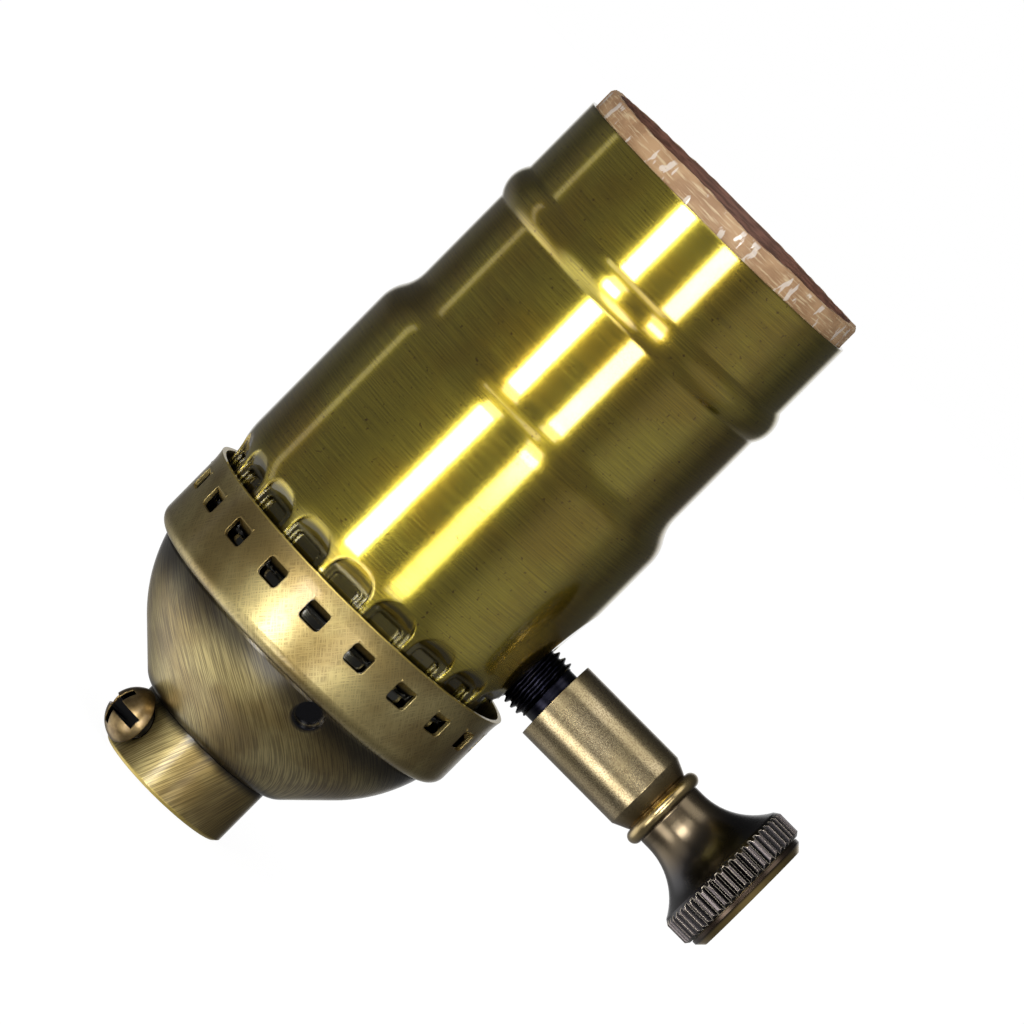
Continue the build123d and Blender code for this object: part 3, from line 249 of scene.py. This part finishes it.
fibre, tree = material("vulcanised_fibre")
place = add(tree, "TexCoord").outputs["Object"]
height = add(tree, "SeparateXYZ", place).outputs["Z"]
radius = from_axis(tree, place)
lay = strokes(tree, place, LAY_RADIUS, 0, 2.4 * mm, 0.22 * mm)
flakes = strokes(tree, place, LAY_RADIUS, 90, 3 * mm, 1.1 * mm)
blotch = add(tree, "TexNoise", place, named={"Scale": 320.0, "Detail": 5.0})
blotched = add(tree, "MapRange", blotch, 0.35, 0.65, 0, 1, **smooth)
outer = add(tree, "Mix", blotched, "#a88763", "#8f6e4e", **mixed)
pale_lay = add(tree, "MapRange", lay, 0.5, 0.7, 0, 1, **smooth)
outer = add(tree, "Mix", pale_lay, outer, "#bba481", **mixed)
dark_lay = add(tree, "MapRange", lay, 0.35, 0.65, 0, 1, **smooth)
inner = add(tree, "Mix", dark_lay, "#7d5342", "#573829", **mixed)
outward = add(tree, "MapRange", radius, LINER_IN + 0.17 * mm, LINER_IN + 0.33 * mm, 0, 1, **smooth)
tone = add(tree, "Mix", outward, inner, outer, **mixed)
flaked = add(tree, "MapRange", flakes, 0.59, 0.63, 0, 1, **smooth)
outermost = add(tree, "MapRange", radius, LINER_OUT - 0.45 * mm, LINER_OUT - 0.15 * mm, 0, 1, **smooth)
below_end = add(tree, "MapRange", height, LINER_TOP - 0.4 * mm, LINER_TOP - 0.1 * mm, 1, 0, **smooth)
chips_and_glints = add(tree, "Math", add(tree, "Math", flaked, outermost, **product), below_end, **product)
# The chips' pale colour is partly a painted highlight, standing in for their glints.
tone = add(tree, "Mix", add(tree, "Math", chips_and_glints, 0.6, **product), tone, "#d9d0c6", **mixed)
cracks = add(tree, "TexVoronoi", place, named={"Scale": 900.0})
relief = add(tree, "Bump", named={
    "Height": add(tree, "Mix", chips_and_glints, lay, cracks), "Strength": 0.7, "Distance": 0.12 * mm,
})
shader = add(tree, "BsdfPrincipled", named={
    "Base Color": tone, "Roughness": 0.62, "Normal": relief,
    "Coat Weight": chips_and_glints, "Coat Roughness": 0.05,
})
add(tree, "OutputMaterial", shader)


def ring(name, rows, columns, point, made):
    """A closed ring: rows of points go round an outline, and columns of them round an axis."""
    points = [point(row, column) for row in range(rows) for column in range(columns)]
    faces = []
    for row in range(rows):
        low, high = row * columns, (row + 1) % rows * columns
        for column in range(columns):
            after = (column + 1) % columns
            faces.append((low + column, low + after, high + after, high + column))
    mesh = bpy.data.meshes.new(name)
    mesh.from_pydata(points, [], faces)
    mesh.polygons.foreach_set("use_smooth", [True] * len(faces))
    mesh.set_sharp_from_angle(angle=math.radians(50))
    mesh.materials.append(made)
    piece = bpy.data.objects.new(name, mesh)
    bpy.context.scene.collection.objects.link(piece)
    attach(piece, "socket")
    return piece


def liner_point(row, column):
    """Up the outside, over the sawn end and down the inside, arched below over the bushing."""
    turn = 2 * math.pi * column / LINER_COLUMNS
    across, along = math.cos(turn), math.sin(turn)
    wander = noise.noise(Vector((across * 2.2, along * 2.2, 0))) * 0.22 * mm
    wander += noise.noise(Vector((across * 14, along * 14, 3))) * 0.09 * mm
    fray = abs(noise.noise(Vector((across * 45, along * 45, 7)))) * 0.1 * mm
    top = LINER_TOP + wander
    aside = min(turn, 2 * math.pi - turn) * LINER_OUT
    arch = math.sqrt(max(0.0, LINER_PASSAGE ** 2 - aside ** 2))
    low = KNOB_Z + arch if arch else LINER_LOW
    height, radius = (
        (low, LINER_OUT), (LINER_STRAIGHT, LINER_OUT),
        (top - 0.9 * mm, LINER_OUT), (top - 0.3 * mm, LINER_OUT - fray),
        (top, LINER_OUT - 0.18 * mm - fray), (top - fray, (LINER_OUT + LINER_IN) / 2),
        (top - fray / 2, LINER_IN + 0.2 * mm), (top - 0.3 * mm, LINER_IN),
        (LINER_STRAIGHT, LINER_IN), (low, LINER_IN),
    )[row]
    return radius * across, radius * along, height


LINER_ROWS = 10
liner = ring("fibre_liner", LINER_ROWS, LINER_COLUMNS, liner_point, fibre)
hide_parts("shell_liner")


# Screw shell. Thin brass sheet, drawn and rolled with the lamp's round thread, left plain at both ends
# and nickelled, so that it shows soft grey rings inside the mouth.
def worn(name, first, second, grain_mm, metallic=0.0, roughness=0.4, relief=0.2, stretch=(1, 1, 1)):
    """A material of two tones that drift into each other, over a fine grain of that size."""
    made, tree = material(name)
    place = add(tree, "TexCoord").outputs["Object"]
    drift = add(tree, "TexNoise", place, named={"Scale": 220.0, "Detail": 4.0})
    drawn = add(tree, "Mapping", place, named={"Scale": stretch})
    grain = add(tree, "TexNoise", drawn, named={"Scale": 1 / (grain_mm * mm), "Detail": 3.0})
    share = add(tree, "MapRange", add(tree, "Mix", 0.5, drift, grain), 0.4, 0.6, 0, 1, **smooth)
    gloss = add(tree, "MapRange", drift, 0.3, 0.7, roughness * 0.85, roughness * 1.15, **smooth)
    bump = add(tree, "Bump", named={"Height": grain, "Strength": relief, "Distance": 0.05 * mm})
    shader = add(tree, "BsdfPrincipled", named={
        "Base Color": add(tree, "Mix", share, first, second, **mixed), "Metallic": metallic,
        "Roughness": gloss, "Normal": bump,
    })
    add(tree, "OutputMaterial", shader)
    return made


# The medium lamp thread has seven turns to the inch, and fades out over one run-out at both its ends.
LAMP_PITCH, THREAD_RADIUS, THREAD_INSET, THREAD_DEPTH = 25.4 * mm / 7, 13.35 * mm, 0.15 * mm, 0.38 * mm
THREAD_LOW, THREAD_HIGH, RUN_OUT, SHEET = 49 * mm, 69.5 * mm, 2 * mm, 0.4 * mm
THREAD_STEPS, SCREW_COLUMNS = 90, 120
thread_step = (THREAD_HIGH - THREAD_LOW) / THREAD_STEPS
thread_rise = [THREAD_LOW + thread_step * i for i in range(THREAD_STEPS + 1)]
screw_outline = [
    (8 * mm, 46 * mm, 0), (12.5 * mm, 46 * mm, 0),
    (13.1 * mm, 46.26 * mm, 0), (13.4 * mm, 46.9 * mm, 0),
    *[(None, z, SHEET / 2) for z in thread_rise],
    (13.76 * mm, 69.8 * mm, 0), (13.95 * mm, 70.4 * mm, 0), (14.25 * mm, 71 * mm, 0),
    (13.85 * mm, 71 * mm, 0), (13.55 * mm, 70.4 * mm, 0), (13.35 * mm, 69.8 * mm, 0),
    *[(None, z, -SHEET / 2) for z in reversed(thread_rise)],
    (13 * mm, 47.2 * mm, 0), (12.8 * mm, 46.7 * mm, 0),
    (12.4 * mm, 46.4 * mm, 0), (8 * mm, 46.4 * mm, 0),
]


def screw_point(row, column):
    """The sheet's outer face from the floor up, over the rim and back down its inner face."""
    turn = 2 * math.pi * column / SCREW_COLUMNS
    radius, height, side = screw_outline[row]
    if radius is None:
        from_ends = min(height - THREAD_LOW - 0.4 * mm, THREAD_HIGH - 0.5 * mm - height)
        fade = min(1.0, max(0.0, from_ends / RUN_OUT))
        wave = math.cos(2 * math.pi * height / LAMP_PITCH - turn)
        radius = THREAD_RADIUS + (THREAD_DEPTH * wave - THREAD_INSET) * fade + side
    return radius * math.cos(turn), radius * math.sin(turn), height


nickelled = worn("nickelled_sheet", "#d9d4c6", "#b9b3a2", 0.25, 1.0, 0.22, 0.1, (0.1, 0.1, 1))
rows = len(screw_outline)
lamp_shell = ring("lamp_screw_shell", rows, SCREW_COLUMNS, screw_point, nickelled)
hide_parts("screw_shell")

# Mouldings. Black phenolic for the cup and its base plate, pressed in a hot tool that leaves them
# half glossy, with faint brown flow marks.
wear(worn("moulded_phenolic", "#17130f", "#241d18", 0.5, 0.0, 0.38, 0.15), "socket_body", "base_plate")

# Contacts, straps and their fasteners. Brass strip and nickelled strip, cut and bent in the press and
# fine-lined along their length, held by brass rivets and by screws of brass, nickel and zinc.
for name, first, second, grain_mm, roughness, relief, stretch, nodes in (
    ("rolled_brass", "#d9bd6b", "#b8964a", 0.2, 0.3, 0.2, (0.2, 1, 0.2), ("hot_strap", "contact_strap")),
    ("hard_rolled_brass", "#dcc47a", "#c2a355", 0.2, 0.26, 0.15, (0.15, 1, 1), ("contact_tongue",)),
    ("riveted_brass", "#c9a95a", "#94763a", 0.15, 0.34, 0.3, (1, 1, 1), ("contact_rivet", "shell_rivets")),
    ("turned_brass", "#d8ba63", "#ad8b3f", 0.12, 0.3, 0.2, (1, 1, 0.2), ("hot_screw",)),
    ("nickelled_brass_strip", "#c6c2b6", "#a29e92", 0.2, 0.28, 0.15, (1, 1, 0.15), ("neutral_strap",)),
    ("nickelled_turned_brass", "#cfccc2", "#a8a498", 0.12, 0.26, 0.2, (1, 1, 1), ("neutral_screw",)),
    ("zinc_plated_steel", "#b9bcc2", "#8f9299", 0.15, 0.36, 0.25, (1, 1, 1), ("base_screws",)),
):
    wear(worn(name, first, second, grain_mm, 1.0, roughness, relief, stretch), *nodes)

# Circuit. A brown paper board with its parts: a moulded triac, a boxed film capacitor, a choke wound
# with glossy enamelled wire, a blue glass diac and a lacquered resistor.
board = worn("paper_and_phenolic_board", "#9c6d38", "#7d5229", 0.3, 0.0, 0.55, 0.25, (1, 0.15, 1))
wear(board, "circuit_board")
wear(worn("moulded_epoxy", "#1b1b1d", "#2a2a2c", 0.2, 0.0, 0.5, 0.3), "triac")
wear(worn("polyester_box", "#8e2219", "#741811", 0.4, 0.0, 0.35, 0.1), "capacitor")
wear(worn("painted_glass", "#2b4f93", "#1d3a75", 0.5, 0.0, 0.15, 0.05), "diac")
wear(worn("dipped_lacquer", "#c9aa77", "#b39161", 0.3, 0.0, 0.35, 0.15), "resistor")
winding, tree = material("enamelled_copper_winding")
place = add(tree, "TexCoord").outputs["Object"]
wire = {"Scale": 320.0, "Distortion": 0.4}  # a turn every 0.98 mm, twice the wire's thickness
turns = add(tree, "TexWave", place, named=wire, bands_direction="Y").outputs["Fac"]
shader = add(tree, "BsdfPrincipled", named={
    "Base Color": add(tree, "Mix", turns, "#4a1d0c", "#a3481c", **mixed),
    "Metallic": 0.6, "Roughness": 0.25,
    "Normal": add(tree, "Bump", named={"Height": turns, "Strength": 0.8, "Distance": 0.1 * mm}),
})
add(tree, "OutputMaterial", shader)
wear(winding, "choke")

# Rotary control. A moulded case round a carbon track, a white rotor with a bronze wiper, and tinned
# pins. Its bushing is cut with a fine spiral thread and blackened with the shaft, so that light shows
# only along the crests, and its plate is tinned.
wear(worn("moulded_nylon", "#16181a", "#22252a", 0.35, 0.0, 0.42, 0.15), "pot_case")
wear(worn("acetal", "#e6e0cd", "#d3ccb6", 0.4, 0.0, 0.4, 0.1), "pot_rotor")
wear(worn("carbon_on_paper_board", "#5c4028", "#3b2a1c", 0.2, 0.0, 0.5, 0.2), "pot_track")
wear(worn("phosphor_bronze", "#d0a070", "#a9794c", 0.2, 1.0, 0.3, 0.15), "pot_wiper")
wear(worn("tinned_brass_pins", "#c4c4c0", "#9c9c98", 0.12, 1.0, 0.34, 0.2), "pot_terminals")
wear(worn("blackened_steel_rod", "#14141d", "#26252e", 0.25, 1.0, 0.3, 0.2, (1, 0.1, 0.1)), "shaft")
BORE, CREST, THREAD_CUT, PITCH = 3.05 * mm, 3.5 * mm, 0.46 * mm, 0.75 * mm
BUSHING_START, BUSHING_END, END_CHAMFER = 13.5 * mm, 19.7 * mm, 0.38 * mm
THREAD_ROWS, BUSHING_COLUMNS = 100, 72
FLANK, CREST_LAND = 3.4, 1.35  # how steeply the thread's flanks rise, and how wide its crest is


def bushing_point(row, column):
    """Out along the thread, over the chamfered end and back through the bore."""
    turn = 2 * math.pi * column / BUSHING_COLUMNS
    if row > THREAD_ROWS:
        x, radius = BUSHING_END if row == THREAD_ROWS + 1 else BUSHING_START - 0.9 * mm, BORE
    else:
        x = BUSHING_START + (BUSHING_END - BUSHING_START) * row / THREAD_ROWS
        from_crest = abs((x / PITCH - column / BUSHING_COLUMNS) % 1.0 - 0.5)
        cut = 1 - min(1.0, max(0.0, CREST_LAND - FLANK * from_crest))
        crest = min(CREST, CREST - END_CHAMFER + BUSHING_END - x)
        radius = max(BORE + 0.01 * mm, crest - THREAD_CUT * cut)
    return x, radius * math.cos(turn), KNOB_Z + radius * math.sin(turn)


blackened = worn("blackened_brass", "#12121c", "#23222c", 0.3, 1.0, 0.3, 0.2)
rows = THREAD_ROWS + 3
bushing = ring("bushing_thread", rows, BUSHING_COLUMNS, bushing_point, blackened)
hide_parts("pot_bushing")
PLATE_HALF, PLATE_CORNER, PLATE_COLUMNS = 5.8 * mm, 1.32, 96
PLATE_FRONT, PLATE_BACK = BUSHING_START, BUSHING_START - 1 * mm


def plate_point(row, column):
    """The front plate: a square with cut corners, from its bore out, over its edge and back."""
    turn = 2 * math.pi * column / PLATE_COLUMNS
    across, up = math.cos(turn), math.sin(turn)
    reach = PLATE_HALF * min(PLATE_CORNER, 1 / max(abs(across), abs(up)))
    x = (PLATE_FRONT, PLATE_FRONT, PLATE_BACK, PLATE_BACK)[row]
    radius = (BORE, reach, reach, BORE)[row]
    return x, radius * across, KNOB_Z + radius * up


tinned = worn("tinned_steel", "#b8b8b4", "#8f8f8c", 0.2, 1.0, 0.32, 0.1)
ring("bushing_plate", 4, PLATE_COLUMNS, plate_point, tinned)

# Knob. Turned from brass bar, satin on its barrel, rubbed to yellow on its bead, yellow on its end
# where part of that yellow is a painted highlight, and darkened to the wheel, whose teeth are
# painted pale along their edges as a highlight.
WHEEL_START, WHEEL_END, TOOTH_ROOT, DISC_RADIUS = 43 * mm, 45.8 * mm, 7.35 * mm, 6.9 * mm

turned_film, tree = material("darkened_turned_brass")
place = add(tree, "TexCoord").outputs["Object"]
along = add(tree, "SeparateXYZ", place).outputs["X"]
about_axis = {"Location": (0, 0, -KNOB_Z), "Scale": (0, 1, 1)}
from_knob_axis = add(tree, "Mapping", place, named=about_axis)
radius = add(tree, "VectorMath", from_knob_axis, operation="LENGTH")
sand = add(tree, "TexNoise", place, named={"Scale": 6500.0, "Detail": 2.0})
cloud = add(tree, "TexNoise", place, named={"Scale": 260.0, "Detail": 4.0})
clouded = add(tree, "MapRange", cloud, 0.35, 0.65, 0, 1, **smooth)
tone = add(tree, "Mix", clouded, "#b5a582", "#a69670", **mixed)
sanded = add(tree, "MapRange", sand, 0.4, 0.65, 0, 0.7, **smooth)
tone = add(tree, "Mix", sanded, tone, "#7d6a4c", **mixed)
# Where each tone starts and is full, in mm along the knob: chamfer, bead, neck, flare and end; the
# end's yellow is partly a painted highlight.
for start, end, code in (
    (32.2, 34.1, "#7d6840"), (34.4, 34.7, "#b8a272"), (35.6, 35.9, "#6a5d48"), (37.6, 41.2, "#2c2a2c"),
    (45.9, 46.0, "#c4a866"),
):
    reached = add(tree, "MapRange", along, start * mm, end * mm, 0, 1, **smooth)
    tone = add(tree, "Mix", reached, tone, code, **mixed)
wheel_start = add(tree, "MapRange", along, WHEEL_START - 0.3 * mm, WHEEL_START, 0, 1, **smooth)
wheel_end = add(tree, "MapRange", along, WHEEL_END - 0.1 * mm, WHEEL_END + 0.1 * mm, 1, 0, **smooth)
tooth_top = add(tree, "MapRange", radius, TOOTH_ROOT, TOOTH_ROOT + 0.1 * mm, 0, 1, **smooth)
on_wheel = add(tree, "Math", wheel_start, wheel_end, **product)
tone = add(tree, "Mix", add(tree, "Math", on_wheel, tooth_top, **product), tone, "#5a5253", **mixed)
on_disc = add(tree, "MapRange", along, WHEEL_END + 0.1 * mm, WHEEL_END + 0.2 * mm, 0, 1, **smooth)
disc_rim = add(tree, "MapRange", radius, DISC_RADIUS - 0.3 * mm, DISC_RADIUS, 0, 1, **smooth)
tone = add(tree, "Mix", add(tree, "Math", on_disc, disc_rim, **product), tone, "#4a3c30", **mixed)
soft_edges = add(tree, "Bevel", 0.12 * mm, samples=6)
# Painted highlight: the teeth's edges, where the rounded normal leaves the true face, are painted pale.
true_face = add(tree, "NewGeometry").outputs["Normal"]
flatness = add(tree, "VectorMath", soft_edges, true_face, operation="DOT_PRODUCT")
painted_edge_highlight = add(tree, "MapRange", flatness, 0.9, 0.985, 1, 0, **smooth)
outermost = add(tree, "MapRange", radius, TOOTH_ROOT - 0.35 * mm, TOOTH_ROOT - 0.05 * mm, 0, 1, **smooth)
tone = add(tree, "Mix", add(tree, "Math", painted_edge_highlight, outermost, **product), tone, "#cfc4b0", **mixed)
relief = add(tree, "Bump", named={
    "Height": sand, "Strength": 0.1, "Distance": 0.03 * mm, "Normal": soft_edges,
})
shader = add(tree, "BsdfPrincipled", named={
    "Base Color": tone, "Metallic": 1.0,
    "Roughness": add(tree, "MapRange", cloud, 0.3, 0.7, 0.24, 0.28, **smooth),
    "Normal": relief, "Coat Weight": 0.3, "Coat Roughness": 0.25,
})
add(tree, "OutputMaterial", shader)
wear(turned_film, "knob")

# Studio. White paper lies under the part and stands behind it, and metal shows it white there too. The
# room in front is dim, so that metal goes dark between the lamps, with a paler wall on the right and
# patches of light that the paper throws up from below, which metal shows in the floor's place.
ROOM_FILL, PAPER_GLOW, GLOW_SHARE = 0.42, 1.12, 0.85
world = bpy.data.worlds.new("studio")
bpy.context.scene.world = world
world.use_nodes = True
tree = world.node_tree
tree.nodes.clear()
towards = add(tree, "TexCoord").outputs["Generated"]
backward = add(tree, "SeparateXYZ", towards).outputs["Y"]
glow = add(tree, "MapRange", backward, 0.2, 0.6, 0.13, 0.05, **smooth)
# Each patch of light: its direction, how near to it the light is full and where it ends, and its strength.
for direction, inner, outer, strength in (
    ((0.0, 1.0, 0.0), 1.0, 0.9, 0.8),
    ((0.96, -0.28, 0.0), 0.99, 0.86, 0.14),
    ((-0.49, -0.59, -0.64), 1.0, 0.88, 0.8),
    ((-0.07, -0.76, -0.65), 1.0, 0.96, 4.5),
    ((-0.50, 0.20, -0.84), 1.0, 0.80, 1.1),
    ((-0.20, 0.60, -0.77), 1.0, 0.50, 0.18),
):
    nearness = add(tree, "VectorMath", towards, direction, operation="DOT_PRODUCT")
    lit = add(tree, "MapRange", nearness, outer, inner, 0, strength, **smooth)
    glow = add(tree, "Math", glow, lit, operation="ADD")
path = add(tree, "LightPath").outputs
in_metal = add(tree, "Math", path["Is Glossy Ray"], path["Is Transmission Ray"], **larger)
room = add(tree, "Mix", in_metal, ROOM_FILL, glow)
seen = add(tree, "Mix", path["Is Camera Ray"], room, 1.0)
add(tree, "OutputWorld", add(tree, "Background", "#ffffff", seen))

paper, tree = material("white_paper")
path = add(tree, "LightPath").outputs
bare = add(tree, "BsdfDiffuse", "#e7e7e7")
lit = add(tree, "Emission", "#ffffff", PAPER_GLOW)
to_camera = add(tree, "Math", path["Is Camera Ray"], GLOW_SHARE, **product)
as_seen = add(tree, "MixShader", to_camera, bare, lit)
in_metal = add(tree, "Math", path["Is Glossy Ray"], path["Is Transmission Ray"], **larger)
clear = add(tree, "BsdfTransparent", "#ffffff")
add(tree, "OutputMaterial", add(tree, "MixShader", in_metal, as_seen, clear))
FLOOR_FRONT, FLOOR_BACK, FLOOR_SIDE = -0.15, 2, 2
floor_mesh = bpy.data.meshes.new("floor")
floor_mesh.from_pydata([
    (-FLOOR_SIDE, FLOOR_FRONT, 0), (FLOOR_SIDE, FLOOR_FRONT, 0),
    (FLOOR_SIDE, FLOOR_BACK, 0), (-FLOOR_SIDE, FLOOR_BACK, 0),
], [], [(0, 1, 2, 3)])
floor_mesh.materials.append(paper)
floor = bpy.data.objects.new("floor", floor_mesh)
bpy.context.scene.collection.objects.link(floor)


LAMP_DISTANCE, PART_MIDDLE = 0.7, Vector((0, 0, 0.042))


def softbox(name, azimuth, elevation, width, height, glow):
    """A rectangular lamp that faces the part, its azimuth counted from the front towards +X."""
    lamp = bpy.data.lights.new(name, "AREA")
    lamp.shape = "RECTANGLE"
    lamp.size, lamp.size_y = width, height
    lamp.energy = glow * 4 * width * height
    box = bpy.data.objects.new(name, lamp)
    a, e = math.radians(azimuth), math.radians(elevation)
    away = Vector((math.sin(a) * math.cos(e), -math.cos(a) * math.cos(e), math.sin(e)))
    box.location = PART_MIDDLE + away * LAMP_DISTANCE
    box.rotation_euler = (-away).to_track_quat("-Z", "Y").to_euler()
    bpy.context.scene.collection.objects.link(box)


softbox("left_box", -16.4, -1, 0.15, 0.36, 12.0)
softbox("right_box", 21.2, 5.2, 0.15, 0.24, 8.5)
softbox("right_box_foot", 21.2, -13.4, 0.15, 0.22, 1.0)
softbox("left_box_head", -16.4, 26, 0.15, 0.3, 2.6)
softbox("right_box_head", 21.2, 27, 0.15, 0.3, 2.2)
softbox("left_strip", -96, -4, 0.06, 0.5, 0.4)
softbox("top_box", -10, 68, 0.5, 0.4, 1.2)

# Camera. It stands in front of the part, towards -Y, a little above it and to the right, with a long
# lens, and is rolled so that the lamp's axis runs up to the right.
view_azimuth, view_elevation, roll = math.radians(3), math.radians(5.4), math.radians(45.14)
VIEW_MIDDLE, VIEW_DISTANCE = Vector((0.0052, 0, 0.0423)), 0.63
back = Vector((
    math.sin(view_azimuth) * math.cos(view_elevation),
    -math.cos(view_azimuth) * math.cos(view_elevation),
    math.sin(view_elevation),
))
level = (-back).cross(Vector((0, 0, 1))).normalized()
upright = level.cross(-back)
right = math.cos(roll) * upright + math.sin(roll) * level
up = math.sin(roll) * upright - math.cos(roll) * level
camera_data = bpy.data.cameras.new("camera")
camera_data.lens, camera_data.sensor_width = 234, 36  # in mm
camera_data.clip_start, camera_data.clip_end = 0.01, 10
camera = bpy.data.objects.new("camera", camera_data)
bpy.context.scene.collection.objects.link(camera)
camera.matrix_world = (
    Matrix.Translation(VIEW_MIDDLE + back * VIEW_DISTANCE)
    @ Matrix((right, up, back)).transposed().to_4x4()
)
bpy.context.scene.camera = camera
bpy.context.scene.view_settings.view_transform = "Standard"
